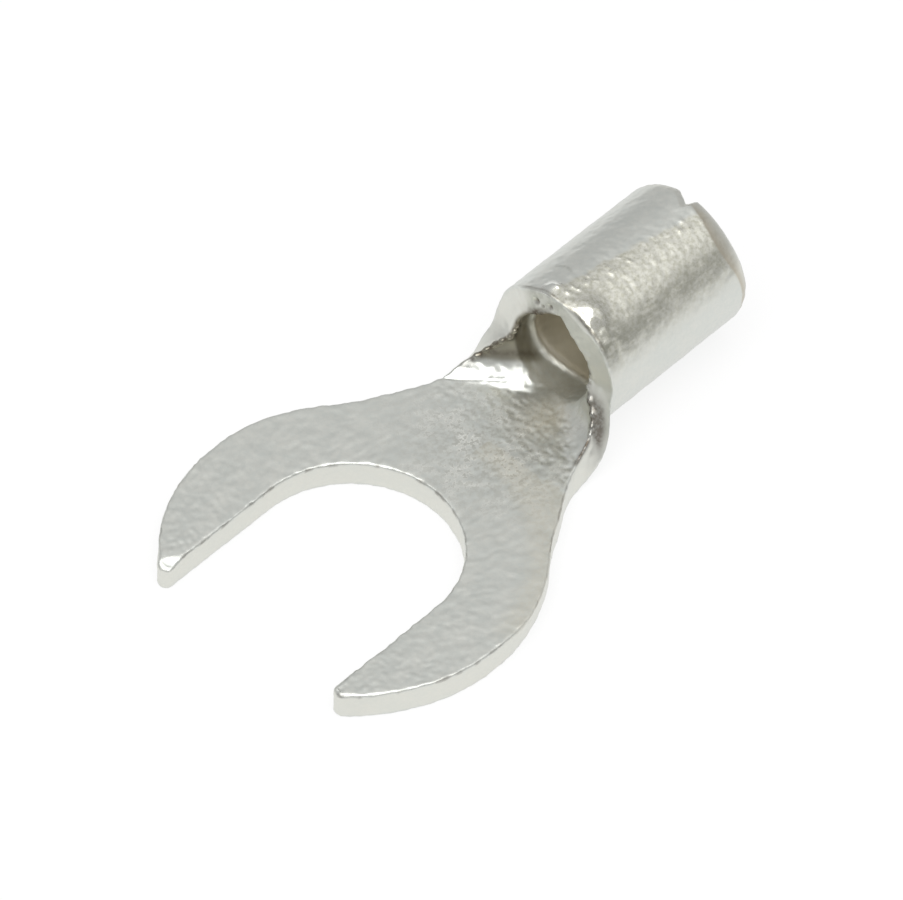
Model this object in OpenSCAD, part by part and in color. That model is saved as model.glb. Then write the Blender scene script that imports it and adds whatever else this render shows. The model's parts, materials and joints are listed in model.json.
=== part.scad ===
// Bare fork terminal, stamped and rolled from one tin-plated copper sheet.
// The flat fork takes a screw stud, the neck rolls up into a closed barrel,
// and the barrel takes the stripped wire.  One piece of metal, one solid.
//
// Frame: the origin is the middle of the fork seat on the underside.
// X runs along the barrel towards the wire, Z is up.  Sizes are in mm.

/* [Sheet] */
// thickness of the sheet
sheet_t = 0.8; // [0.5:0.05:1.2]

/* [Fork] */
// clear width between the prongs
stud_gap = 5.6; // [3.2:0.1:7]
// outside width across the prongs
fork_w = 9.65; // [8:0.05:13]
// rounding of each prong tip
tip_r = 0.2; // [0.05:0.05:0.25]

/* [Neck] */
// narrowest width of the flat blank between fork and barrel
neck_w = 4.5; // [3.6:0.1:5]
// where that narrowest width begins, from the seat middle
neck_x = 6.3; // [6:0.1:6.6]
// slant of the blank's straight flanks, in degrees
flank_angle = 26; // [20:1:35]
// rounding between the fork circle and the flank
shoulder_r = 4.5; // [2:0.5:8]
// rounding between the flank and the narrowest part
waist_r = 2.4; // [1:0.2:3]
// where the sides start to turn up, from the seat middle
bend_x = 5.3; // [4.8:0.1:5.8]
// inside corner where the neck edge turns up into the barrel front
corner_r = 0.6; // [0.2:0.05:0.7]
// bend of the sides along the neck, as one over the radius
side_bend = 0.36; // [0.1:0.01:0.6]
// how late the sides close in to the barrel radius
roll_power = 8; // [2:1:12]

/* [Barrel] */
// outside diameter of the barrel
barrel_d = 4.1; // [3:0.1:5]
// length of the barrel
barrel_len = 5.16; // [3:0.02:8]
// front face of the barrel, from the seat middle
barrel_x = 7.34; // [7.2:0.02:10]
// length of the bevel round the wire end
bevel_len = 0.45; // [0.1:0.05:0.8]
// depth of that bevel
bevel_h = 0.08; // [0.02:0.02:0.3]
// height of the pressed ridge inside the mouth
ridge_h = 0.1; // [0.02:0.02:0.2]
// crest of the ridge behind the barrel front
ridge_at = 0.74; // [0.3:0.02:1.5]
// half width of the ridge at its foot
ridge_foot = 0.2; // [0.1:0.02:0.28]
// how much wider the bore opens at the mouth, on the radius
mouth_flare = 0.03; // [0.01:0.01:0.04]

/* [Seam] */
// depth of the notch where the seam reaches the wire end
notch_len = 0.27; // [0.1:0.01:0.6]
// reach of that notch to the left of the seam
notch_left = 0.38; // [0.1:0.02:0.8]
// reach of that notch to the right of the seam
notch_right = 0.22; // [0.1:0.01:0.8]
// height of the open corner where the seam reaches the mouth
mouth_h = 0.5; // [0.1:0.05:0.6]
// how far back that corner goes
mouth_len = 1.2; // [0.4:0.1:3]
// reach of that corner to the left of the seam
mouth_left = 0.55; // [0.3:0.05:0.8]
// reach of that corner to the right of the seam
mouth_right = 0.47; // [0.3:0.01:0.8]
// how far to the right of the seam its highest point is
mouth_peak = 0.2; // [0:0.05:0.25]

/* [Hidden] */
$fn = 96;
seat_r = stud_gap / 2;
fork_r = fork_w / 2;
rod_r = barrel_d / 2;
bore_r = rod_r - sheet_t;
axis_z = rod_r;
mid_r = rod_r - sheet_t / 2;
half_neck = neck_w / 2;
barrel_end = barrel_x + barrel_len;
eps = 0.01;
skin = 0.004;

// How far the neck's hidden ends reach into the tongue and into the barrel
// wall, and how far they stay inside the faces there.
lap_tongue = 0.3;
lap_barrel = 0.2;
lap_inset = 0.06;

// The flank is a straight line that leans in by flank_angle.  The waist
// circle touches it and the narrowest width; lean is its outward normal.
lean = [sin(flank_angle), cos(flank_angle)];
waist_mid = [neck_x, half_neck + waist_r];
waist_from = waist_mid - waist_r * lean;
flank_off = waist_from * lean;

// The shoulder circle touches the flank and, from outside, the fork circle.
shoulder_side = sqrt(pow(fork_r + shoulder_r, 2)
                     - pow(flank_off + shoulder_r, 2));
shoulder_mid = (flank_off + shoulder_r) * lean
               + shoulder_side * [lean[1], -lean[0]];
shoulder_to = shoulder_mid - shoulder_r * lean;
touch = shoulder_mid * fork_r / (fork_r + shoulder_r);

// The tip circle touches the prong's inner edge and the fork circle.
tip_y = seat_r + tip_r;
tip_x = -sqrt(pow(fork_r - tip_r, 2) - tip_y * tip_y);

// Half width of the flat blank at x, from the flank to the barrel.
function blank_half(x) =
    x < waist_from[0]
    ? waist_from[1] + (waist_from[0] - x) * tan(flank_angle)
    : x < neck_x
    ? waist_mid[1] - sqrt(waist_r * waist_r - pow(neck_x - x, 2))
    : x > barrel_x - corner_r
    ? half_neck + corner_r
      - sqrt(max(0, corner_r * corner_r - pow(x - barrel_x + corner_r, 2)))
    : half_neck;

// How far the neck has gone from flat (0) to barrel (1).
function part_way(x) = (x - bend_x) / (barrel_x - bend_x);

// Half width of the floor that is still flat, and the bend of the sides.
function floor_half(x) = blank_half(bend_x) * (1 - part_way(x));
function side_curve(x) =
    side_bend + (1 / mid_r - side_bend) * pow(part_way(x), roll_power);

// Position across the sheet: s along the middle of the sheet, h above it.
// Radians are turned to degrees with 180 / PI.
function turned(s, k) = s * k * 180 / PI;
function roll_point(x, s, h, flat, k) =
    let (out = max(0, abs(s) - flat), a = turned(out, k), r = 1 / k,
         side = s < 0 ? -1 : 1)
    [x,
     side * (min(abs(s), flat) + (r - h) * sin(a)),
     sheet_t / 2 + r - (r - h) * cos(a)];

// One cross-section: the upper face from right to left, then the lower one.
function section_points(x, h, width, flat, k, n) = concat(
    [for (i = [0 : n]) roll_point(x, width * (2 * i / n - 1), h, flat, k)],
    [for (i = [0 : n]) roll_point(x, width * (2 * i / n - 1), -h, flat, k)]);

across = 44;
along = 14;
corner = 10;
row = 2 * (across + 1);

// Stations: even steps first, then steps that follow the inside corner.
stations = concat(
    [for (j = [0 : along - 1])
        bend_x + (barrel_x - corner_r - bend_x) * j / along],
    [for (j = [0 : corner])
        barrel_x - corner_r + corner_r * sin(90 * j / corner)]);
last = len(stations) - 1;
rows = last + 3;

// Both ends reach a little way into the tongue and into the barrel wall.
neck_points = concat(
    section_points(bend_x - lap_tongue, sheet_t / 2 - lap_inset,
        blank_half(bend_x) - lap_inset, blank_half(bend_x), side_bend, across),
    [for (j = [0 : last])
        let (x = stations[j], inset = j == 0 || j == last ? skin : 0)
        each section_points(x, sheet_t / 2 - inset, blank_half(x) - inset,
            floor_half(x), side_curve(x), across)],
    section_points(barrel_x + lap_barrel, sheet_t / 2 - lap_inset,
        blank_half(barrel_x) - lap_inset, 0, 1 / mid_r, across));

// Two triangles for the quad a, b, c, d.
function quad(a, b, c, d) = [[a, b, c], [a, c, d]];

neck_faces = concat(
    [for (j = [0 : rows - 2], i = [0 : across - 1])
        let (p = j * row + i, q = p + row)
        each quad(p, p + 1, q + 1, q)],
    [for (j = [0 : rows - 2], i = [0 : across - 1])
        let (p = j * row + across + 1 + i, q = p + row)
        each quad(p, q, q + 1, p + 1)],
    [for (j = [0 : rows - 2])
        let (p = j * row, q = p + row, d = across + 1)
        each quad(p, q, q + d, p + d)],
    [for (j = [0 : rows - 2])
        let (p = j * row + across, q = p + row, d = across + 1)
        each quad(p, p + d, q + d, q)],
    [for (i = [0 : across - 1])
        let (p = i, d = across + 1)
        each quad(p, p + d, p + d + 1, p + 1)],
    [for (i = [0 : across - 1])
        let (p = (rows - 1) * row + i, d = across + 1)
        each quad(p, p + 1, p + d + 1, p + d)]);

// Everything outside the neck edge on one side: side is 1 or -1.
module outside_neck(side) {
    far = fork_r + 1;
    polygon([
        [touch[0], side * touch[1]],
        [shoulder_to[0], side * shoulder_to[1]],
        [waist_from[0], side * waist_from[1]],
        [neck_x, side * half_neck],
        [neck_x, side * far],
        [touch[0], side * far]]);
    translate([shoulder_mid[0], side * shoulder_mid[1]])
        circle(r = shoulder_r, $fn = 240);
    translate([waist_mid[0], side * waist_mid[1]])
        circle(r = waist_r, $fn = 180);
}

// Plan of the flat part, up to where the sides start to turn up.
module fork_plan() {
    difference() {
        union() {
            circle(r = fork_r, $fn = 180);
            translate([touch[0], -fork_r])
                square([bend_x - touch[0], fork_w]);
        }
        outside_neck(1);
        outside_neck(-1);
        // Room for the stud, open towards the tips.
        circle(r = seat_r);
        translate([-fork_w, -seat_r])
            square([fork_w, stud_gap]);
        // The sharp ends, which the tip circles replace.
        for (side = [-1, 1])
            polygon([
                [tip_x, 0],
                [tip_x, side * tip_y],
                [2 * tip_x, 2 * side * tip_y],
                [-2 * fork_w, 2 * side * tip_y],
                [-2 * fork_w, 0]]);
    }
    for (side = [-1, 1])
        translate([tip_x, side * tip_y])
            circle(r = tip_r, $fn = 48);
}

module tongue() {
    linear_extrude(height = sheet_t)
        fork_plan();
}

// The sheet between tongue and barrel, rolled up along slanting bend lines.
module neck() {
    polyhedron(points = neck_points, faces = neck_faces, convexity = 6);
}

// The closed barrel with its bore, the bevel at the wire end and the ridge
// inside the mouth, turned about its own axis.
module barrel() {
    translate([barrel_x, 0, axis_z])
        rotate([0, 90, 0])
            rotate_extrude($fn = 128)
                polygon([
                    [bore_r + mouth_flare, 0],
                    [rod_r, 0],
                    [rod_r, barrel_len - bevel_len],
                    [rod_r - bevel_h, barrel_len],
                    [bore_r, barrel_len],
                    [bore_r, ridge_at + ridge_foot],
                    [bore_r - ridge_h, ridge_at],
                    [bore_r, ridge_at - ridge_foot]]);
}

// The two sheet corners do not quite meet at the wire end.
module seam_notch() {
    translate([0, 0, axis_z])
        linear_extrude(height = rod_r + 1)
            polygon([
                [barrel_end + eps, notch_left],
                [barrel_end - notch_len, 0],
                [barrel_end + eps, -notch_right]]);
}

// At the mouth the root of the seam stays open, as a lopsided corner that
// rises from the bore.  The cut starts a little in front of the barrel.
module seam_mouth() {
    before = 0.5;
    foot = bore_r - 0.4;
    translate([barrel_x - before, 0, axis_z])
        rotate([0, 90, 0])
            linear_extrude(height = mouth_len + before)
                polygon([
                    [-foot, mouth_left],
                    [-sqrt(bore_r * bore_r - mouth_left * mouth_left), mouth_left],
                    [-bore_r - mouth_h, -mouth_peak],
                    [-sqrt(bore_r * bore_r - mouth_right * mouth_right), -mouth_right],
                    [-foot, -mouth_right]]);
}

module fork_terminal() {
    color([0.77, 0.78, 0.76])
        difference() {
            union() {
                tongue();
                neck();
                barrel();
            }
            seam_notch();
            seam_mouth();
        }
}

fork_terminal();
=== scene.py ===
"""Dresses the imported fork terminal: one tin-plated copper sheet, stamped, rolled and brazed.

The sheet is built as its flat blank, in the blank's own coordinates: x along the terminal,
s across the sheet and h above the middle of the sheet.  Then it is rolled into shape.
Sizes are in millimetres until the mesh is made.
"""

import json
import bmesh
import bpy
import numpy as np
from mathutils import Matrix, Vector


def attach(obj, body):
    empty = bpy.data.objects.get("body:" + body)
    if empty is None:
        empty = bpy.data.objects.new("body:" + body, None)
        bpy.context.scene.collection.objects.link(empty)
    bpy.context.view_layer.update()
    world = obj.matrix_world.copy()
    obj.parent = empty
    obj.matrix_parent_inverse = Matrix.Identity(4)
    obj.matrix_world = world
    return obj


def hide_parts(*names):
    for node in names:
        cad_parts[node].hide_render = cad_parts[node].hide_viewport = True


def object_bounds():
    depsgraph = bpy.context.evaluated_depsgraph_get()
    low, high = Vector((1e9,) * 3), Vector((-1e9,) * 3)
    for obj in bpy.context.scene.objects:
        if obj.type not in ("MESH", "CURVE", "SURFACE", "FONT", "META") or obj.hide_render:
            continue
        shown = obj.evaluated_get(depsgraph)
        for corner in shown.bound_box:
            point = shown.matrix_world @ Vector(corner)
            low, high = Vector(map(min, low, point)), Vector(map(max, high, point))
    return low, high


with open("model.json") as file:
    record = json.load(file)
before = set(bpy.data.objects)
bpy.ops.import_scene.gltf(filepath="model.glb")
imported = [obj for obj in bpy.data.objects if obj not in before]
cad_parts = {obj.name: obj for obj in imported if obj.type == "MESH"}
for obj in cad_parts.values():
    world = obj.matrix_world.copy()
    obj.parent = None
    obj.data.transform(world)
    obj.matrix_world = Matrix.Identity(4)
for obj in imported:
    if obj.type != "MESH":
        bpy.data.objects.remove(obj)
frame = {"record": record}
cad_low, cad_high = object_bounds()

MM = 0.001

# Sizes that the frame gives: the mounts and the box of the CAD solid.
MOUNTS = {mount["name"]: mount["dims"] for mount in frame["record"]["mounts"]}
SEAT_R = MOUNTS["stud_seat"]["r_mm"]
SHEET = MOUNTS["stud_seat"]["length_mm"]
BORE_R = MOUNTS["wire_barrel"]["r_mm"]
BARREL_END = cad_high.x / MM
FORK_R = cad_high.y / MM
MID_R = BORE_R + SHEET / 2

# The blank's outline: prong tips, shoulders, flanks, waist and neck.
TIP_R = 0.2
FLANK_DEG = 26
SHOULDER_R = 4.5
WAIST_R = 2.4
NECK_X = 6.3
NECK_HALF = 2.25
CORNER_R = 0.6

# What the stamping left wider than that outline: the left neck, both shoulders, right and
# left, and the tips.  The neck's place is its x, the others' is their length along the outline.
NECK_WIDER = 0.12
NECK_WIDER_AT = 6.2
NECK_WIDER_OVER = 0.45
SHOULDER_WIDER = (0.09, 0.03)
SHOULDER_WIDER_AT = (12.4, 14.0, 17.0, 18.2)
TIP_WIDER = 0.05
TIP_WIDER_AT = 8.3
TIP_WIDER_OVER = (0.9, 0.35)

# How far the left tip's corner is worn away.
TIP_WORN = 0.11

# The cut edge: rounding of its upper and lower corner, with what is added at the prong tips
# and where the braze ran over the front, and how far it leans back at the barrel's front, at
# the left of that front, and on the right shoulder.
UPPER_R = 0.075
UPPER_TIP_R = 0.06
LOWER_R = 0.06
LOWER_MOLTEN_R = 0.13
FRONT_LEAN = 0.03
LEFT_LEAN = 0.15
SHOULDER_LEAN = 0.07

# The roll: where the sides start to turn up, and how they close in to the barrel.
BEND_X = 5.3
BARREL_X = 7.34
BARREL_SOFT = 0.18
ROLL_POWER = 8
SEAM_S = np.pi * MID_R

# How each side of the neck is bent, right and left: the slope of its bend line, where that
# line reaches the middle, over what length it softens, how far the sheet turns at the bend
# line within the crease's width, and its bend beyond, in radians per millimetre.
FOLD_SLOPE = (1.306, 1.69)
FOLD_END = (7.19, 7.04)
FOLD_SOFT = (0.15, 0.3)
CREASE_TURN = (0.072, 0.17)
CREASE_WIDE = 0.2
SIDE_BEND = (0.36, 0.33)

# The barrel's wire end: a slightly rounded inner edge, a bevel outside, longest on the right of
# the seam, and a V where the seam's corners stay apart.
END_ROUND = 0.06
BEVEL_LEN = 0.18
BEVEL_DEPTH = 0.06
BEVEL_MORE_LEN = 0.36
BEVEL_MORE_DEPTH = 0.1
BEVEL_MORE_AT = -1.2
BEVEL_SOFT = 0.03
NOTCH_DEPTH = 0.28
NOTCH_AT = -0.06
NOTCH_LEFT = 0.38
NOTCH_RIGHT = 0.1

# The barrel's mouth: a pressed ridge inside, which lies deeper on the floor, a collar of braze
# outside with two drops on it, and the open corner under the seam.  A drop is given by its
# place behind the front and off the seam, its height and its size.
RIDGE_X = BARREL_X + 0.65
RIDGE_DEEPER = 0.22
RIDGE_HEIGHT = 0.09
RIDGE_WIDTH = 0.11
COLLAR_X = BARREL_X + 0.4
COLLAR_HEIGHT = 0.06
COLLAR_WIDTH = 0.22
COLLAR_DROPS = ((0.33, 0.28, 0.108, 0.2), (0.5, -0.68, 0.16, 0.36))
MOUTH_RISE = 0.36
MOUTH_LEN = 1.3
MOUTH_LEFT = 0.75
MOUTH_PEAK = -0.17
MOUTH_RIGHT = -0.8

# Pinholes in the braze on the barrel's front: off the seam, across the sheet, and their size.
PINHOLES = ((0.63, -0.03, 0.085), (0.16, -0.04, 0.07), (0.42, 0.05, 0.04))

# Drops of tin: in each inside corner of the neck, and along the braze.
CORNER_BEADS = 8
SEAM_BEADS = 30

# The braze's strip and the dark streak on its right, by how far they lie off the seam, and a
# curved scratch on the barrel: its middle behind the front and off the seam, and its radius.
STRIP_RIGHT = (-2.3, -1.3)
STRIP_SOFT = 0.05
STREAK_OFF = -1.45
STREAK_WIDTH = 0.36
SCRATCH_AT = (0.86, 0.57)
SCRATCH_R = 0.295
SCRATCH_FROM = 1.02

# On the upper face: the brown film that the brazing left before the mouth, and the mottling.
SMOKE_AT = (6.65, -0.55)
SMOKE_R = 0.85
MOTTLE_AT = (5.0, -0.2)
MOTTLE_R = 2.2

# Heights of the small relief: the sheet's waviness, two grains of the braze, the burr, and the
# cut edge, smooth below and torn above.
WAVES = 0.0018
BRAZE_GRAINS = (0.002, 0.0015)
BURR = 0.014
CUT_SMOOTH = 0.003
CUT_TORN = 0.012

# The mark that the forming tool left along the left crease: where it starts, how it moves up
# the wall, and its depth.
MARK_X = 5.86
MARK_UP = 0.18
MARK_SLOPE = 0.55
MARK_DEPTH = 0.025

# Steps of the grids, at most about 0.06 mm apart where the sheet is rolled, and how close two
# points are merged.
FAN_DEG = 45
ARC_STEPS = 400
ACROSS = 100
PRONG_ROWS = 130
UPPER_FAN_ROWS = 28
LOWER_FAN_ROWS = 12
NECK_ROWS = 66
FRONT_STEPS = 52
BORE_ROWS = 60
OUTER_ROWS = 125
ROW_CROWD = 1.4
ROUND_STEPS = 5
WALL_STEPS = 14
MERGE = 0.001

# The lattice of the random lumps: its cells each way, and how it is turned.
LATTICE = 64
LATTICE_TURN = np.linalg.qr([[3.0, 1.0, 2.0], [1.0, 4.0, 1.5], [-2.0, 1.0, 5.0]])[0]

# The camera, from the photograph: angles in degrees, lengths in millimetres.
CAMERA_AZIMUTH = -49.19
CAMERA_ELEVATION = 47.74
CAMERA_ROLL = 2.38
CAMERA_DISTANCE = 190.1
LOOK_AT = (2.94, -0.57, 2.49)
SENSOR = 36
LENS = 305.1

# The studio, in metres: the table, the room's greys by height, and the two softboxes.
FLOOR_HALF = 2.0
FLOOR_OWN = 0.8
ROOM_GREYS = ((0.0, 0.47), (0.25, 0.55), (0.7, 0.62), (1.0, 0.86))
ROOM_LEFT = 0.12
MAIN_TOWARDS = (-0.3, -0.22, 0.93)
MAIN_SIZE = 0.44
MAIN_RADIANCE = 2.2
SIDE_TOWARDS = (0.55, -0.42, 0.72)
SIDE_SIZE = 0.25
SIDE_RADIANCE = 0.35
LAMP_DISTANCE = 0.45


def arc(mid, radius, start, end, inside):
    """A circle's points from one angle to another, in degrees, each with its inward normal.
    inside is 1 where the sheet lies inside the circle and -1 where it lies outside."""
    angle = np.radians(np.linspace(start, end, ARC_STEPS))
    out = np.column_stack([np.cos(angle), np.sin(angle)])
    return np.hstack([np.asarray(mid) + radius * out, -inside * out])


def line(start, end, normal):
    """Two points with the same inward normal."""
    return np.array([[*start, *normal], [*end, *normal]])


LEAN = np.array([np.sin(np.radians(FLANK_DEG)), np.cos(np.radians(FLANK_DEG))])
WAIST_MID = np.array([NECK_X, NECK_HALF + WAIST_R])
WAIST_FROM = WAIST_MID - WAIST_R * LEAN
CORNER_MID = np.array([BARREL_X - CORNER_R, NECK_HALF + CORNER_R])
TIP_S = SEAT_R + TIP_R
TIP_X = -np.sqrt((FORK_R - TIP_R) ** 2 - TIP_S**2)


def blank_outline():
    """The left half of the blank's outline, from the bottom of the seat round the tip and up
    to the seam at the barrel's front.  Arcs and lines touch, so the normal never jumps.
    Returns the stretches by name, each with rows of x, s, normal x and normal s."""
    reach = WAIST_FROM @ LEAN + SHOULDER_R
    side = np.sqrt((FORK_R + SHOULDER_R) ** 2 - reach**2)
    shoulder_mid = reach * LEAN + side * np.array([LEAN[1], -LEAN[0]])
    shoulder_deg = np.degrees(np.arctan2(shoulder_mid[1], shoulder_mid[0]))
    tip_deg = np.degrees(np.arctan2(TIP_S, TIP_X))
    return {
        "seat": arc((0, 0), SEAT_R, 0, 90, -1),
        "gap": line((0, SEAT_R), (TIP_X, SEAT_R), (0, 1)),
        "tip": arc((TIP_X, TIP_S), TIP_R, 270, tip_deg, 1),
        "fork": arc((0, 0), FORK_R, tip_deg, shoulder_deg, 1),
        "shoulder": arc(shoulder_mid, SHOULDER_R, shoulder_deg + 180, 270 - FLANK_DEG, -1),
        "flank": line(shoulder_mid - SHOULDER_R * LEAN, WAIST_FROM, -LEAN),
        "waist": arc(WAIST_MID, WAIST_R, 270 - FLANK_DEG, 270, -1),
        "neck": line((NECK_X, NECK_HALF), (CORNER_MID[0], NECK_HALF), (0, -1)),
        "corner": arc(CORNER_MID, CORNER_R, 270, 360, -1),
        "front": line((BARREL_X, CORNER_MID[1]), (BARREL_X, SEAM_S), (1, 0)),
    }


STRETCHES = blank_outline()
OUTLINE = np.vstack(list(STRETCHES.values()))
OUTLINE_AT = np.cumsum(np.hypot(*np.diff(OUTLINE[:, :2], axis=0, prepend=OUTLINE[:1, :2]).T))


def length_to(name):
    """The outline's length from the bottom of the seat to the end of that stretch."""
    rows = np.cumsum([len(part) for part in STRETCHES.values()])
    return OUTLINE_AT[rows[list(STRETCHES).index(name)] - 1]


def outline_at(lengths, side):
    """Points and inward normals of the outline at those lengths.  side is 1 for the left half
    and -1 for the right half, its mirror image but for what the stamping left wider."""
    x, s, normal_x, normal_s = (np.interp(lengths, OUTLINE_AT, column) for column in OUTLINE.T)
    s = s + NECK_WIDER * hill(x, NECK_WIDER_AT, NECK_WIDER_OVER) * (side > 0)
    wider = side_of(SHOULDER_WIDER, side) * band(lengths, *SHOULDER_WIDER_AT)
    wider = wider + TIP_WIDER * hill(lengths, TIP_WIDER_AT, side_of(TIP_WIDER_OVER, side))
    x, s = x - wider * normal_x, s - wider * normal_s
    return np.stack([x, side * s], axis=-1), np.stack([normal_x, side * normal_s], axis=-1)


def face_edge(lengths, side, reach):
    """Where a face ends: the outline moved in by the reach of its edge."""
    point, inward = outline_at(lengths, side)
    return point + reach(point)[..., None] * inward


def off_seam(s):
    """Distance from the seam along the sheet, above 0 on its left and below 0 on its right."""
    return np.where(s > 0, SEAM_S - s, -SEAM_S - s)


def hill(value, middle, width):
    """A smooth hump: 1 at the middle, falling off like a bell of that width."""
    return np.exp(-(((value - middle) / width) ** 2))


def rise(value, start, end):
    """A smooth step from 0 at start to 1 at end, as 3t^2 - 2t^3."""
    t = np.clip((value - start) / (end - start), 0, 1)
    return t * t * (3 - 2 * t)


def band(value, start, full, last, end):
    """A smooth band: 0 up to start, 1 from full to last, and 0 again from end on."""
    return rise(value, start, full) * (1 - rise(value, last, end))


def lumps(place, grain, seed):
    """Smooth random lumps from -1 to 1, one grain apart: values on a cubic lattice, blended
    between the corners of each cell by 3t^2 - 2t^3 along each axis.  The lattice is turned, so
    that its planes don't lie along the sheet."""
    place = place @ LATTICE_TURN
    lattice = np.random.default_rng(seed).uniform(-1, 1, (LATTICE,) * 3)
    cell = np.floor(place / grain).astype(int)
    t = place / grain - cell
    t = t * t * (3 - 2 * t)
    total = np.zeros(place.shape[:-1])
    for corner in np.ndindex(2, 2, 2):
        share = np.prod(np.where(corner, t, 1 - t), axis=-1)
        at = (cell + corner) % LATTICE
        total += share * lattice[at[..., 0], at[..., 1], at[..., 2]]
    return total


def wound(point):
    """Blank points wound round a rod of the barrel's middle radius, so that lumps that are
    read there run on across the seam."""
    turn = point[..., 1] / MID_R
    return np.stack([point[..., 0], MID_R * np.sin(turn), MID_R * np.cos(turn)], axis=-1)


def upper_radius(point):
    """Rounding of the upper edge: slight and uneven, and larger at the prong tips."""
    from_tip = np.hypot(point[..., 0] - TIP_X, np.abs(point[..., 1]) - TIP_S)
    uneven = 0.015 * lumps(wound(point), 0.45, seed=5) + 0.035 * lumps(wound(point), 0.14, seed=6)
    return UPPER_R + uneven + UPPER_TIP_R * hill(from_tip, 0, 0.4)


def lower_radius(point):
    """Rounding of the lower edge, which is the barrel's outside: slight, and larger where the
    braze is molten over the barrel's front."""
    x, s = point[..., 0], point[..., 1]
    molten = hill(off_seam(s), -0.65, 0.5) * rise(x, BARREL_X - 0.1, BARREL_X)
    return LOWER_R + LOWER_MOLTEN_R * molten + 0.01 * lumps(wound(point), 0.3, seed=7)


def lean(point):
    """How far the cut edge slopes back from the upper to the lower face: at the barrel's front
    and the two corners below it, most at the left, and on the right shoulder."""
    x, s = point[..., 0], point[..., 1]
    off = off_seam(s)
    left = rise(off, 1.0, 1.45) * (LEFT_LEAN - 0.08 * rise(off, 2.2, 2.6)) * (s > 0)
    uneven = 0.03 * lumps(wound(point), 0.5, seed=8)
    outside = np.hypot(x, s) > (SEAT_R + FORK_R) / 2
    shoulder = SHOULDER_LEAN * band(x, -0.15, 1.45, 1.64, 3.34) * (s < 0) * outside
    return shoulder + rise(x, 6.5, 6.95) * (FRONT_LEAN + left + uneven)


def lower_reach(point):
    """How far the edge takes the lower face in from the outline."""
    return lower_radius(point) + lean(point)


def no_reach(point):
    """No edge at all: the face ends at the outline."""
    return np.zeros(point.shape[:-1])


# Where the grids cut the outline.  Columns crowd towards the rims, rows towards the tips.
COLUMNS = np.linspace(-1, 1, ACROSS + 1)
COLUMNS = 0.5 * COLUMNS + 0.5 * np.sin(COLUMNS * np.pi / 2)
CROWDED = 1 - (1 - np.linspace(0, 1, PRONG_ROWS + 1)) ** 1.3
FAN_AT = SEAT_R * np.radians(FAN_DEG)
TIP_AT = (length_to("gap") + length_to("tip")) / 2
INNER_AT = FAN_AT + (TIP_AT - FAN_AT) * CROWDED
OUTER_AT = length_to("flank") + (TIP_AT - length_to("flank")) * CROWDED
NECK_AT = np.linspace(length_to("flank"), length_to("corner"), NECK_ROWS + 1)
FRONT_AT = np.linspace(length_to("corner"), length_to("front"), FRONT_STEPS + 1)


def between(start, end, steps):
    """Rows of points in equal steps on straight lines from start to end."""
    return np.linspace(start, end, steps + 1)


def across(right, left):
    """Points on the straight line from right to left, one for each column."""
    share = (COLUMNS[:, None] + 1) / 2
    return right[..., None, :] * (1 - share) + left[..., None, :] * share


def prong(side, reach, rows):
    """Straight rows from the prong's inner edge to its outer edge."""
    return between(face_edge(INNER_AT, side, reach), face_edge(OUTER_AT, side, reach), rows)


def fan(reach, rows):
    """Rows from the seat's arc to the straight line across the start of the neck."""
    side = np.where(COLUMNS < 0, -1, 1)
    seat = face_edge(np.abs(COLUMNS) * FAN_AT, side, reach)
    start = length_to("flank")
    return between(seat, across(face_edge(start, -1, reach), face_edge(start, 1, reach)), rows)


def neck(reach):
    """Rows across the neck.  Their ends follow the outline into the inside corner, and their
    middles are evenly spaced: x is the ends' x plus what that lacks times 1 - column^2."""
    grid = across(face_edge(NECK_AT, -1, reach), face_edge(NECK_AT, 1, reach))
    even = np.linspace(grid[0, :, 0], grid[-1, :, 0], NECK_ROWS + 1)
    grid[..., 0] += (even - grid[..., 0]) * (1 - COLUMNS**2)
    return grid


def barrel_front(reach):
    """The barrel's front row, from the seam on the right round to the seam on the left."""
    right = face_edge(FRONT_AT, -1, reach)
    left = face_edge(FRONT_AT, 1, reach)
    return np.vstack([right[:0:-1], neck(reach)[-1], left[1:]])


def wire_end(s):
    """x of the wire end: straight, with a lopsided V at the seam."""
    off = off_seam(s) - NOTCH_AT
    share = np.where(off > 0, off / NOTCH_LEFT, -off / NOTCH_RIGHT)
    return BARREL_END - NOTCH_DEPTH * np.clip(1 - share, 0, 1)


def bevel(s):
    """Length and depth of the bevel outside the wire end."""
    more = hill(off_seam(s), BEVEL_MORE_AT, 0.9)
    return BEVEL_LEN + BEVEL_MORE_LEN * more, BEVEL_DEPTH + BEVEL_MORE_DEPTH * more


def inner_end(s):
    """x where the bore ends at the rounded inner edge of the wire end."""
    return wire_end(s) - END_ROUND


def outer_end(s):
    """x where the barrel's outside ends at the bevel."""
    return wire_end(s) - bevel(s)[0] - BEVEL_SOFT


def barrel(reach, end, rows):
    """Rows from the barrel's front to its wire end, closer together at the front."""
    s = barrel_front(no_reach)[:, 1]
    front = barrel_front(reach)
    back = np.column_stack([end(s), s])
    share = np.linspace(0, 1, rows + 1)[:, None, None] ** ROW_CROWD
    return front + share * (back - front)


def quarter(radius):
    """Inset and depth of a rounded edge, from the face to the wall along a quarter circle."""
    angle = np.linspace(0, np.pi / 2, ROUND_STEPS + 1)[:, None]
    return radius * (1 - np.sin(angle)), radius * (1 - np.cos(angle))


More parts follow.
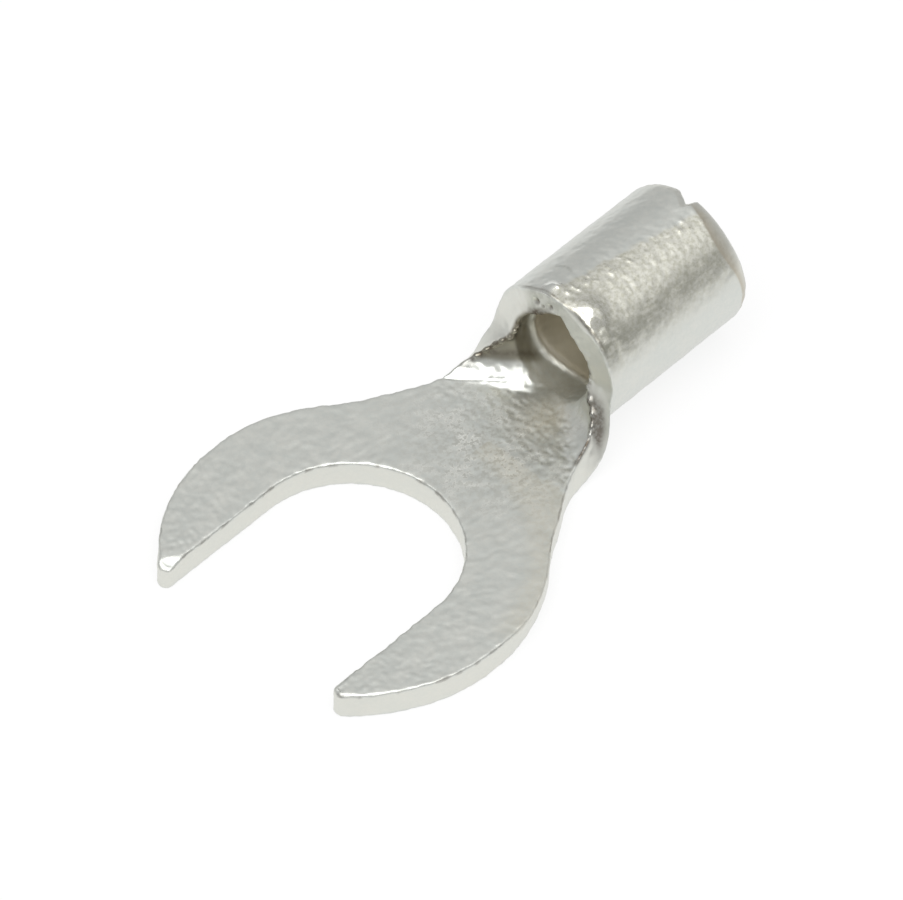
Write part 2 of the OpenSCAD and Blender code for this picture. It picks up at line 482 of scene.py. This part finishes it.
def rim():
    """The cut edge all round the outline: rounded upper edge, sloping wall and rounded lower
    edge, as a profile of insets and heights that is carried along the outline."""
    seat_at = COLUMNS[ACROSS // 2:] * FAN_AT
    lengths = np.concatenate([seat_at, INNER_AT[1:], OUTER_AT[-2::-1], NECK_AT[1:], FRONT_AT[1:]])
    right, left = outline_at(lengths, -1), outline_at(lengths, 1)
    path, inward = (np.vstack([right[i][:0:-1], left[i]]) for i in range(2))
    upper_in, upper_down = quarter(upper_radius(path))
    lower_in, lower_up = quarter(lower_radius(path))
    top = SHEET / 2 - upper_down
    bottom = lower_up[::-1] - SHEET / 2
    wall = between(top[-1], bottom[0], WALL_STEPS)[1:-1]
    height = np.vstack([top, wall, bottom])
    inset = np.vstack([upper_in, np.zeros_like(wall), lower_in[::-1]])
    inset += lean(path) * (0.5 - height / SHEET)
    return np.dstack([path + inset[..., None] * inward, height])


def wire_rim():
    """The cut edge of the wire end: rounded inner edge, wall, and the bevel outside, whose two
    corners are slightly broken."""
    s = barrel_front(no_reach)[:, 1]
    ones = np.ones(len(s))
    upper_in, upper_down = quarter(END_ROUND * ones)
    length, depth = bevel(s)
    slope = depth / length
    bevel_in = [0 * ones, BEVEL_SOFT / 2 * ones, BEVEL_SOFT * 2 * ones, length - BEVEL_SOFT,
                length + BEVEL_SOFT]
    bevel_up = [depth + BEVEL_SOFT, depth, depth - BEVEL_SOFT * 2 * slope, BEVEL_SOFT * slope, 0 * ones]
    top = SHEET / 2 - upper_down
    bottom = np.array(bevel_up) - SHEET / 2
    wall = between(top[-1], bottom[0], WALL_STEPS)[1:-1]
    inset = np.vstack([upper_in, np.zeros_like(wall), bevel_in])
    height = np.vstack([top, wall, bottom])
    return np.dstack([wire_end(s) - inset, s * np.ones_like(inset), height])


def mouth_depth(x, s):
    """How far the seam's corner stays open under the mouth: a lopsided peak across the seam,
    which runs out along the bore."""
    off = off_seam(s)
    left = 1 - (off - MOUTH_PEAK) / (MOUTH_LEFT - MOUTH_PEAK)
    right = 1 - (off - MOUTH_PEAK) / (MOUTH_RIGHT - MOUTH_PEAK)
    peak = np.clip(np.minimum(left, right), 0, 1) ** 1.2
    along = 1 - rise(x, BARREL_X + 0.5, BARREL_X + MOUTH_LEN)
    return MOUTH_RISE * peak * along * (x > BARREL_X - CORNER_R)


def tip_depth(x, s):
    """How far the left tip's upper corner is worn down: a slope that falls to the inside of the
    fork and to the tip."""
    along, aside = x - TIP_X, s - TIP_S
    slope = 0.5 * np.clip(TIP_WORN - 0.5 * along - 0.86 * aside, 0, None)
    return slope * hill(np.hypot(along, aside), 0, 0.36) * (s > 0)


def squeezed(blank):
    """Thins the sheet from its upper face, at the open corner and the worn tip."""
    x, s, h = blank.T
    depth = mouth_depth(x, s) + tip_depth(x, s)
    return np.column_stack([x, s, -SHEET / 2 + (h + SHEET / 2) * (1 - depth / SHEET)])


def soft_above(value, soft):
    """The value where it is above 0, and 0 below, joined by a parabola."""
    return np.where(value > soft, value, np.clip(value + soft, 0, None) ** 2 / (4 * soft))


def side_of(pair, s):
    """The left or the right one of two numbers, by the side of the sheet."""
    return np.where(s > 0, pair[1], pair[0])


def past_fold(x, s):
    """How far a point lies beyond the bend line of its side, across the sheet."""
    soft = side_of(FOLD_SOFT, s)
    floor = side_of(FOLD_SLOPE, s) * soft_above(side_of(FOLD_END, s) - x, soft)
    return np.maximum(np.abs(s) - floor, 0)


def rolled(blank):
    """The blank rolled up: the middle stays flat, and beyond two slanting bend lines the sheet
    turns first through a narrow crease and then along a wider circle.  Both grow into the
    barrel's circle, reached smoothly at its front."""
    x, s, h = blank.T
    way = BARREL_SOFT - soft_above(BARREL_X - BARREL_SOFT - x, BARREL_SOFT)
    way = np.clip(1 + (way - BARREL_SOFT) / (BARREL_X - BARREL_SOFT - BEND_X), 0, 1) ** ROLL_POWER
    crease_bend = side_of(CREASE_TURN, s) / CREASE_WIDE
    crease_bend = crease_bend + (1 / MID_R - crease_bend) * way
    bend = side_of(SIDE_BEND, s)
    bend = bend + (1 / MID_R - bend) * way
    past = past_fold(x, s)
    first = crease_bend * np.minimum(past, CREASE_WIDE)
    turn = first + bend * np.maximum(past - CREASE_WIDE, 0)
    y = np.sin(first) / crease_bend + (np.sin(turn) - np.sin(first)) / bend - h * np.sin(turn)
    z = (1 - np.cos(first)) / crease_bend + (np.cos(first) - np.cos(turn)) / bend + h * np.cos(turn)
    return np.column_stack([x, np.sign(s) * (np.abs(s) - past + y), SHEET / 2 + z])


def beads():
    """Small drops of tin along the upper edge in the two inside corners, and along the braze's
    left edge: their places on the rolled sheet, and their sizes."""
    draw = np.random.default_rng(11)
    found = []
    for side in (1, -1):
        lengths = np.linspace(length_to("waist") + 0.35, length_to("corner") + 0.05, CORNER_BEADS)
        point, inward = outline_at(lengths + draw.uniform(-0.04, 0.04, CORNER_BEADS), side)
        point += inward * draw.uniform(0.0, 0.05, (CORNER_BEADS, 1))
        found.append(np.column_stack([point, np.full(CORNER_BEADS, SHEET / 2 - 0.02)]))
    x = draw.uniform(BARREL_X + 0.3, BARREL_END - 0.4, SEAM_BEADS)
    off = seam_line(x) + draw.uniform(-0.3, 0.05, SEAM_BEADS)
    s = np.where(off > 0, SEAM_S - off, -SEAM_S - off)
    found.append(np.column_stack([x, s, np.full(SEAM_BEADS, -SHEET / 2)]))
    sizes = np.append(draw.uniform(0.055, 0.09, 2 * CORNER_BEADS), draw.uniform(0.03, 0.06, SEAM_BEADS))
    return rolled(squeezed(np.vstack(found))), sizes


def near(place, centre, size):
    """1 at the centre, falling off like a bell of that size."""
    return hill(np.linalg.norm(place - centre, axis=1), 0, size)


def spots(place, centres, sizes):
    """Round spots of those sizes at those places."""
    return np.maximum.reduce([near(place, centre, size) for centre, size in zip(centres, sizes)])


def pinholes():
    """Places and sizes of the pinholes on the barrel's front."""
    off, h, sizes = np.transpose(PINHOLES)
    inset = lean(np.column_stack([BARREL_X + 0 * off, SEAM_S - off])) * (0.5 - h / SHEET)
    return rolled(np.column_stack([BARREL_X + inset, SEAM_S - off, h])), sizes


def ridge_at(s):
    """x of the ridge inside the mouth, which lies deeper on the bore's floor."""
    return RIDGE_X + RIDGE_DEEPER * hill(s, 0.0, 1.2)


def seam_line(x):
    """Where the braze's left edge runs: it starts left of the seam and drifts to its right."""
    return 0.14 - 0.14 * (x - BARREL_X - 0.86)


def upper_side(h):
    """1 on the upper face, which is the barrel's inside, and 0 below its rounded edge."""
    return rise(h, 0.25, 0.38)


def lower_side(h):
    """1 on the lower face, which is the barrel's outside, and 0 above its rounded edge."""
    return rise(-h, 0.3, 0.39)


def ragged(place):
    """Small unevenness of the border of what was brazed or shaded."""
    return 0.07 * lumps(place, 0.18, seed=9)


def from_neck_edge(x, s):
    """How far a point lies from the neck's edge, or from the arc of its inside corner."""
    arc_edge = np.abs(np.hypot(x - CORNER_MID[0], np.abs(s) - CORNER_MID[1]) - CORNER_R)
    return np.where(x < CORNER_MID[0], NECK_HALF - np.abs(s), arc_edge)


def formed_side(x, s):
    """The sides of the neck, which the forming tool rubbed, the left one most."""
    side = rise(past_fold(x, s), 0.0, side_of((0.8, 0.3), s)) * side_of((0.6, 1.0), s)
    return side * (1 - rise(x, BARREL_X - 0.45, BARREL_X + 0.05))


def left_wall(x, s, place):
    """How high up the neck's left wall a point lies, and the painted shade at its top: a dull dark
    band.
    """
    up = past_fold(x, s) + 0.8 * np.maximum(x - 7.2, 0) + 0.4 * ragged(place)
    # The band returned second is painted shade: a dull dark band at the top of the left wall.
    return up, rise(up, 1.35, 1.6) * (s > 0) * band(x, 6.2, 6.5, 7.6, 8.0)


def brazed(blank, place):
    """The braze along the seam, and what is dark beside it: the streak on its right, the
    scratch on its left, and the mottling of the front, where braze fills the seam."""
    x, s, h = blank.T
    off = off_seam(s)
    behind = lower_side(h) * rise(x, BARREL_X + 0.02, BARREL_X + 0.12)
    border = off - seam_line(x) - ragged(place)
    strip = rise(off, *STRIP_RIGHT) * (1 - rise(border, -STRIP_SOFT, STRIP_SOFT))
    streak = hill(off, STREAK_OFF + 2 * ragged(place), STREAK_WIDTH)
    streak *= 0.6 + 0.4 * hill(x, BARREL_X, 1.0)
    from_middle = np.hypot(x - BARREL_X - SCRATCH_AT[0], off - SCRATCH_AT[1])
    scratch = 0.5 * hill(from_middle, SCRATCH_R, 0.04) * lower_side(h)
    scratch *= rise(x - BARREL_X, SCRATCH_FROM, SCRATCH_FROM + 0.06)
    aside = off + ragged(place)
    filled = (0.06 + 0.34 * rise(aside, -0.5, -0.1)) * (1 - rise(aside, 0.75, 0.95))
    filled *= hill(x, BARREL_X, 0.12) * rise(off, -2.5, -1.9)
    return behind * strip, np.maximum.reduce([behind * streak, scratch, filled])


def smoked(x, s):
    """The brown film of the brazing: before the mouth, thinner on the mouth's floor, and along
    the outer edge of the right shoulder."""
    before = hill(np.hypot(x - SMOKE_AT[0], 1.25 * (s - SMOKE_AT[1])), 0, SMOKE_R)
    floor = 0.35 * rise(x, 6.85, 7.5) * (1 - formed_side(x, s))
    shoulder = 0.5 * rise(np.hypot(x, s), 4.1, 4.7) * (s < 0) * rise(x, 0, 1) * (x < 5)
    return np.maximum.reduce([before, floor, shoulder])


def shiny(blank, place):
    """The smooth drops: the two behind the front edge, on the side that faces it, and the
    beads."""
    x, s, h = blank.T
    drop = spots(place, *beads())
    for behind, aside, _, size in COLLAR_DROPS:
        round_drop = hill(np.hypot(x - BARREL_X - behind + 0.08, off_seam(s) - aside), 0, 1.1 * size)
        drop = np.maximum(drop, lower_side(h) * rise(round_drop, 0.1, 0.5))
    return drop


def stained_and_shaded(blank, place):
    """Brown stains and painted shade: stains in the inside corners and along the neck's edge,
    but not on the beads, on the crown of the mouth and on the right wall below its beads; and
    painted shade at the top of the left wall, in the crevice behind the front edge, in the
    pinholes and in nicks of the upper edge."""
    x, s, h = blank.T
    off = off_seam(s)
    edge = from_neck_edge(x, s)
    up, painted_shade = left_wall(x, s, place)
    corner = side_of((0.5, 0.9), s) * hill(edge, 0.0, side_of((0.1, 0.14), s))
    corner *= rise(x, side_of((6.2, 6.0), s), 6.7) * (1 - rise(x, BARREL_X, BARREL_X + 0.2))
    right_edge = hill(edge, 0.03, 0.05) * rise(x, 5.6, 6.0) * (s < 0)
    # The last of these is a painted line of shade at the top of the left wall.
    corner = np.maximum.reduce([corner, right_edge, 0.5 * hill(up, 1.78, 0.12) * painted_shade])
    corner *= upper_side(h) * (1 - shiny(blank, place))
    crown = hill(off, 0.75, 0.45) * hill(x, BARREL_X, 0.12) * rise(h, 0.1, 0.3)
    wall = 0.8 * (s < 0) * band(x, 6.6, 6.8, 7.1, 7.3) * rise(h, -0.35, 0.0)
    wall = wall * (1 - rise(edge, 0.04, 0.1))
    # Painted shade: a dark line in the crevice behind the barrel's front edge.
    crevice = hill(x - lean(blank), BARREL_X + 0.07, 0.035) * rise(-h, 0.2, 0.39)
    crevice *= 0.7 * band(off, -1.7, -1.0, 0.8, 1.3)
    crevice *= 0.6 + 0.4 * rise(lumps(place, 0.25, seed=18), -0.2, 0.2)
    # Painted shade: dark dashes in nicks of the upper edge.
    nick = band(h, 0.3, 0.33, 0.385, 0.398) * rise(lumps(place, 0.2, seed=17), 0.05, 0.4)
    # The pinholes are darkened with painted shade.
    return np.maximum.reduce([corner, crown, wall, crevice, spots(place, *pinholes()), 0.4 * nick])


def zones(blank, place):
    """How far each point belongs to each kind of surface, or to the painted shade, from 0 to 1, by the
    kind's name.
    """
    x, s, h = blank.T
    upper = upper_side(h)
    braze, streak = brazed(blank, place)
    past_bevel = x - wire_end(s) + bevel(s)[0]
    bevel_left = 1 - 0.8 * rise(off_seam(s), -0.4, 0.0)
    rubbed = formed_side(x, s) * (1 - (s < 0) * hill(from_neck_edge(x, s), 0, 0.12))
    return {
        "cut": 1 - rise(np.abs(h), 0.3, 0.36),
        "bore": upper * rise(x - ridge_at(s), -0.15, 0.05),
        "braze": braze,
        "streak": streak,
        # Painted shade: the dull dark band at the top of the neck's left wall.
        "painted_shade": upper * left_wall(x, s, place)[1],
        "bevel": lower_side(h) * rise(past_bevel, -0.04, 0.04) * bevel_left,
        "polish": upper * rubbed,
        "smoke": upper * smoked(x, s),
        "mottle": upper * hill(np.hypot(x - MOTTLE_AT[0], s - MOTTLE_AT[1]), 0, MOTTLE_R),
        # Brown stains, and painted shade in the crevice, the pinholes, the nicks and at the top of the
        # left wall.
        "stain_and_shade": stained_and_shaded(blank, place),
        "drop": shiny(blank, place),
    }


def relief(blank, place, zone):
    """How far each point stands out along its normal: the ridge in the mouth, the collar and
    its drops behind the front edge, a slow waviness of the whole sheet, the grain of the braze,
    the burr and the torn half of the cut edges, the forming tool's mark, the beads of tin, and
    the pinholes."""
    x, s, h = blank.T
    off = off_seam(s)
    ridge = RIDGE_HEIGHT * hill(x - ridge_at(s) + 0.04 * lumps(place, 0.5, seed=13), 0, RIDGE_WIDTH)
    ridge *= upper_side(h) * (1 + 0.2 * lumps(place, 0.4, seed=14))
    collar = COLLAR_HEIGHT * hill(x, COLLAR_X, COLLAR_WIDTH) * (1 + 0.3 * lumps(place, 0.4, seed=10))
    collar *= band(off, -2.4, -1.6, -0.35, -0.1) * lower_side(h)
    for behind, aside, height, size in COLLAR_DROPS:
        round_drop = hill(np.hypot(x - BARREL_X - behind, off - aside), 0, size)
        collar = np.maximum(collar, height * round_drop * lower_side(h))
    waves = WAVES * lumps(place, 0.9, seed=1)
    grain = BRAZE_GRAINS[0] * lumps(place, 0.25, seed=3) + BRAZE_GRAINS[1] * lumps(place, 0.13, seed=4)
    burr = BURR * hill(np.abs(h), SHEET / 2 - 0.03, 0.06) * lumps(place, 0.12, seed=12)
    torn = (CUT_SMOOTH + CUT_TORN * rise(h, -0.1, 0.1)) * lumps(place, 0.14, seed=15)
    above_mark = past_fold(x, s) - MARK_UP - MARK_SLOPE * (x - MARK_X)
    mark = MARK_DEPTH * hill(above_mark + 0.02 * lumps(place, 0.4, seed=16), 0, 0.07)
    mark = mark * (s > 0) * upper_side(h) * band(x, 5.7, 5.85, 6.6, 6.95)
    total = ridge + collar + waves + burr - mark + zone["braze"] * grain + zone["cut"] * torn
    for centre, size in zip(*beads()):
        total += 0.8 * size * near(place, centre, size)
    for centre, size in zip(*pinholes()):
        total -= size * near(place, centre, size)
    return total


def with_height(grid, h):
    """A grid of blank points, all at height h."""
    return np.dstack([grid, np.full(grid.shape[:2], h)])


def both_faces():
    """The upper and the lower face as grids of x, s, h, each up to its rounded edge."""
    faces = [(upper_radius, SHEET / 2, inner_end, UPPER_FAN_ROWS, BORE_ROWS),
             (lower_reach, -SHEET / 2, outer_end, LOWER_FAN_ROWS, OUTER_ROWS)]
    for reach, h, end, fan_rows, barrel_rows in faces:
        for grid in (prong(1, reach, fan_rows), prong(-1, reach, fan_rows), fan(reach, fan_rows),
                     neck(reach), barrel(reach, end, barrel_rows)):
            yield with_height(grid, h)


def grid_faces(rows, columns, first):
    """Corner numbers of a grid's quads."""
    a = first + (np.arange(rows - 1)[:, None] * columns + np.arange(columns - 1)).ravel()
    return np.column_stack([a, a + 1, a + columns + 1, a + columns])


def sheet_mesh(name):
    """One closed mesh of all the grids.  Points that meet are merged, the normals are turned
    outwards, and then the relief moves each point along its normal."""
    grids = [*both_faces(), rim(), wire_rim()]
    firsts = np.cumsum([0] + [grid.shape[0] * grid.shape[1] for grid in grids])
    blank = np.vstack([grid.reshape(-1, 3) for grid in grids])
    quads = np.vstack([grid_faces(*grid.shape[:2], first) for grid, first in zip(grids, firsts)])
    mesh = bpy.data.meshes.new(name)
    mesh.from_pydata(rolled(squeezed(blank)), [], quads)
    mesh.attributes.new("blank", "FLOAT_VECTOR", "POINT").data.foreach_set("vector", blank.ravel())
    work = bmesh.new()
    work.from_mesh(mesh)
    bmesh.ops.remove_doubles(work, verts=work.verts, dist=MERGE)
    bmesh.ops.recalc_face_normals(work, faces=work.faces)
    work.to_mesh(mesh)
    work.free()
    place, normal, blank = (np.zeros((len(mesh.vertices), 3), np.float32) for _ in range(3))
    mesh.vertices.foreach_get("co", place.ravel())
    mesh.vertices.foreach_get("normal", normal.ravel())
    mesh.attributes["blank"].data.foreach_get("vector", blank.ravel())
    zone = zones(blank, place)
    place += normal * relief(blank, place, zone)[:, None]
    mesh.vertices.foreach_set("co", (place * MM).ravel())
    for zone_name, share in zone.items():
        mesh.attributes.new(zone_name, "FLOAT", "POINT").data.foreach_set("value", share)
    mesh.shade_smooth()
    mesh.update()
    return mesh


def linear(hex_colour):
    """An sRGB hex colour as linear red, green, blue and alpha."""
    srgb = np.array([int(hex_colour[i:i + 2], 16) for i in (1, 3, 5)]) / 255
    rgb = np.where(srgb <= 0.04045, srgb / 12.92, ((srgb + 0.055) / 1.055) ** 2.4)
    return (*rgb, 1)


def add(tree, kind, inputs=None, **settings):
    """Adds a node with its settings, and fills its sockets with values or links."""
    made = tree.nodes.new(kind)
    for setting, value in settings.items():
        setattr(made, setting, value)
    for socket, value in (inputs or {}).items():
        if isinstance(value, bpy.types.NodeSocket):
            tree.links.new(value, made.inputs[socket])
        else:
            made.inputs[socket].default_value = value
    return made


def maths(tree, operation, *values):
    """The result of a Math node on those values or sockets."""
    return add(tree, "ShaderNodeMath", dict(enumerate(values)), operation=operation).outputs[0]


def noise(tree, vector, grain, detail=3):
    """Noise of that grain, in millimetres."""
    return add(tree, "ShaderNodeTexNoise", {
        "Vector": vector, "Scale": 1 / (grain * MM), "Detail": detail, "Roughness": 0.6}).outputs["Fac"]


def spread(tree, value, low, high, to_low=0.0, to_high=1.0):
    """The value's range from low to high spread over another range, and cut off there."""
    return add(tree, "ShaderNodeMapRange", {
        "Value": value, "From Min": low, "From Max": high,
        "To Min": to_low, "To Max": to_high}).outputs["Result"]


def blend(tree, share, first, second):
    """A number between two others, by that share."""
    return add(tree, "ShaderNodeMix", {"Factor": share, "A": first, "B": second}).outputs["Result"]


def tinted(tree, colour, hex_colour, share):
    """The colour with another laid over it, by that share."""
    return add(tree, "ShaderNodeMix", {
        "Factor": share, "A": colour, "B": linear(hex_colour)}, data_type="RGBA").outputs["Result"]


def new_material(name):
    """A material with an empty tree, and its output node."""
    material = bpy.data.materials.new(name)
    material.use_nodes = True
    material.node_tree.nodes.clear()
    return material, material.node_tree, add(material.node_tree, "ShaderNodeOutputMaterial")


# Colours of the tin and of its mottling, and then by zone, each laid over the ones before it:
# the zone, its colour, and how much of the colour the zone takes.
TIN_DARK = "#D4D7D2"
TIN_PALE = "#DCDDD7"
MOTTLE_GREY = "#C4C5BE"
MOTTLE_PALE = "#F4F4EE"
BRAZE_GRIT = "#C4C3B4"
ZONE_COLOURS = (
    ("cut", "#E8E6DC", 0.35),
    ("braze", "#E0DFD5", 0.9),
    ("streak", "#86877B", 0.7),
    # painted shade at the top of the neck's left wall
    ("painted_shade", "#999689", 1.0),
    ("bevel", "#BDB6A6", 0.9),
    ("smoke", "#B8B19C", 0.7),
    ("bore", "#DED9CA", 1.0),
    # brown stains, and painted shade in the crevice, the pinholes and the nicks
    ("stain_and_shade", "#4E4030", 0.95),
)
ZONE_NAMES = ("cut", "bore", "braze", "streak", "painted_shade", "bevel", "polish", "smoke", "mottle",
              "stain_and_shade", "drop")

# Roughness of the zones that differ from the plain tin, laid over each other in this order.
ZONE_ROUGHNESS = (("smoke", 0.5), ("polish", 0.29), ("braze", 0.43), ("bore", 0.5), ("drop", 0.2))

# Depth of the bumps in the tin's surface, and how much deeper they are in the braze.
TIN_BUMP = 0.0005
BRAZE_BUMP = 0.004


def tin_plate():
    """Electroplated tin over copper, satin.  Its crystals and the shallow dents of barrel
    plating, 0.1 to 0.6 mm wide, mottle it with paler flecks and clouds.  The braze is coarser
    and dulls its gloss, and the neck is smoother where the forming tool rubbed it."""
    material, tree, output = new_material("tin_plate")
    zone = {name: add(tree, "ShaderNodeAttribute", attribute_name=name).outputs["Fac"]
            for name in ZONE_NAMES}
    place = add(tree, "ShaderNodeTexCoord").outputs["Object"]
    turned = add(tree, "ShaderNodeMapping", {"Vector": place, "Rotation": (0.6, 0.8, 0.5)})
    drawn = add(tree, "ShaderNodeMapping", {
        "Vector": place, "Rotation": (0.1, 0.15, 0.2), "Scale": (0.35, 1, 1)})
    fleck = noise(tree, turned.outputs["Vector"], 0.12)
    cloud = noise(tree, turned.outputs["Vector"], 0.6, detail=4)
    both = blend(tree, 0.5, fleck, cloud)
    colour = tinted(tree, linear(TIN_DARK), TIN_PALE, spread(tree, both, 0.38, 0.62))
    curd = maths(tree, "MULTIPLY", spread(tree, fleck, 0.42, 0.6), zone["mottle"])
    colour = tinted(tree, colour, MOTTLE_GREY, curd)
    line = maths(tree, "ABSOLUTE", maths(tree, "SUBTRACT", fleck, 0.5))
    line = spread(tree, line, 0.0, 0.05, 1.0, 0.0)
    line = maths(tree, "MULTIPLY", line, spread(tree, cloud, 0.46, 0.58))
    colour = tinted(tree, colour, MOTTLE_PALE, maths(tree, "MULTIPLY", line, zone["mottle"]))
    grit = spread(tree, noise(tree, turned.outputs["Vector"], 0.1), 0.4, 0.65)
    patchy = spread(tree, noise(tree, drawn.outputs["Vector"], 0.18), 0.42, 0.56, 0.35, 1.0)
    blotch = spread(tree, fleck, 0.35, 0.6, 0.6, 1.0)
    uneven = {"streak": patchy, "stain_and_shade": blotch, "smoke": blotch}
    # The zones laid over here include painted shade: the band at the top of the neck's left wall, and
    # the dark of the crevice, the pinholes and the nicks.
    for name, hex_colour, most in ZONE_COLOURS:
        share = maths(tree, "MULTIPLY", zone[name], most)
        if name in uneven:
            share = maths(tree, "MULTIPLY", share, uneven[name])
        colour = tinted(tree, colour, hex_colour, share)
        if name == "braze":
            colour = tinted(tree, colour, BRAZE_GRIT, maths(tree, "MULTIPLY", grit, share))
    rough = spread(tree, both, 0.35, 0.65, 0.36, 0.44)
    for name, value in ZONE_ROUGHNESS:
        rough = blend(tree, zone[name], rough, value)
    coarse = maths(tree, "MULTIPLY_ADD", zone["mottle"], 0.2, zone["braze"])
    coarse = maths(tree, "MULTIPLY", coarse, maths(tree, "SUBTRACT", 1.0, zone["drop"]))
    depth = maths(tree, "MULTIPLY_ADD", coarse, BRAZE_BUMP * MM, TIN_BUMP * MM)
    bump = add(tree, "ShaderNodeBump", {
        "Height": maths(tree, "MULTIPLY", fleck, depth), "Distance": 1.0, "Strength": 1.0})
    shader = add(tree, "ShaderNodeBsdfPrincipled", {
        "Base Color": colour, "Metallic": spread(tree, zone["smoke"], 0.0, 1.0, 1.0, 0.7),
        "Roughness": rough, "Normal": bump.outputs["Normal"]})
    tree.links.new(shader.outputs["BSDF"], output.inputs["Surface"])
    return material


def terminal():
    """The whole terminal as one piece, in place of the CAD solid."""
    piece = bpy.data.objects.new("tinned_sheet", sheet_mesh("tinned_sheet"))
    bpy.context.scene.collection.objects.link(piece)
    piece.data.materials.append(tin_plate())
    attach(piece, "root")
    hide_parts("fork_terminal")
    return piece


def studio_floor():
    """A white table, part of whose white is its own to the camera, so that it stays pale and
    still keeps the shadow."""
    mesh = bpy.data.meshes.new("floor")
    half = FLOOR_HALF
    corners = [(-half, -half, 0), (half, -half, 0), (half, half, 0), (-half, half, 0)]
    mesh.from_pydata(corners, [], [(0, 1, 2, 3)])
    floor = bpy.data.objects.new("floor", mesh)
    bpy.context.scene.collection.objects.link(floor)
    material, tree, output = new_material("white_table")
    lit = add(tree, "ShaderNodeBsdfDiffuse", {"Color": linear("#FAFAFA")})
    own = add(tree, "ShaderNodeEmission", {"Color": linear("#FFFFFF"), "Strength": 1.0})
    ray = add(tree, "ShaderNodeLightPath").outputs
    seen = maths(tree, "ADD", ray["Is Camera Ray"], ray["Is Glossy Ray"])
    seen = maths(tree, "ADD", seen, ray["Is Transmission Ray"])
    share = maths(tree, "MULTIPLY", seen, FLOOR_OWN)
    both = add(tree, "ShaderNodeMixShader", {0: share, 1: lit.outputs[0], 2: own.outputs[0]})
    tree.links.new(both.outputs[0], output.inputs["Surface"])
    mesh.materials.append(material)


def studio_room():
    """A plain room around the table: mid grey walls that get brighter towards the ceiling, and
    a little brighter on the terminal's left."""
    world = bpy.data.worlds.new("room")
    bpy.context.scene.world = world
    world.use_nodes = True
    tree = world.node_tree
    tree.nodes.clear()
    direction = add(tree, "ShaderNodeTexCoord").outputs["Generated"]
    axes = add(tree, "ShaderNodeSeparateXYZ", {"Vector": direction}).outputs
    up = maths(tree, "MULTIPLY_ADD", axes["Y"], ROOM_LEFT, axes["Z"])
    ramp = add(tree, "ShaderNodeValToRGB", {"Fac": up})
    stops = ramp.color_ramp.elements
    for index, (height, grey) in enumerate(ROOM_GREYS):
        stop = stops[index] if index < 2 else stops.new(height)
        stop.position = height
        stop.color = (grey, grey, grey, 1)
    light = add(tree, "ShaderNodeBackground", {"Color": ramp.outputs["Color"], "Strength": 1.0})
    add(tree, "ShaderNodeOutputWorld", {"Surface": light.outputs["Background"]})


def softbox(name, direction, size, radiance):
    """A square softbox that faces the terminal.  Its power is the radiance times pi times its
    area."""
    lamp = bpy.data.lights.new(name, "AREA")
    lamp.size = size
    lamp.energy = radiance * np.pi * size**2
    lit = bpy.data.objects.new(name, lamp)
    bpy.context.scene.collection.objects.link(lit)
    out = Vector(direction).normalized()
    lit.location = out * LAMP_DISTANCE
    lit.rotation_euler = out.to_track_quat("Z", "Y").to_euler()


def photo_camera():
    """The camera at the photograph's angle: it turns about the point that it looks at."""
    lens = bpy.data.cameras.new("camera")
    lens.sensor_width = SENSOR
    lens.lens = LENS
    lens.clip_start = 0.01
    lens.clip_end = 10
    camera = bpy.data.objects.new("camera", lens)
    bpy.context.scene.collection.objects.link(camera)
    turn = Matrix.Rotation(np.radians(CAMERA_AZIMUTH), 4, "Z")
    tilt = Matrix.Rotation(np.radians(90 - CAMERA_ELEVATION), 4, "X")
    roll = Matrix.Rotation(np.radians(CAMERA_ROLL), 4, "Z")
    back = Matrix.Translation((0, 0, CAMERA_DISTANCE * MM))
    camera.matrix_world = Matrix.Translation(Vector(LOOK_AT) * MM) @ turn @ tilt @ roll @ back
    bpy.context.scene.camera = camera


photo_camera()
terminal()
studio_floor()
studio_room()
softbox("main", MAIN_TOWARDS, MAIN_SIZE, MAIN_RADIANCE)
softbox("side", SIDE_TOWARDS, SIDE_SIZE, SIDE_RADIANCE)
bpy.context.scene.view_settings.view_transform = "Standard"
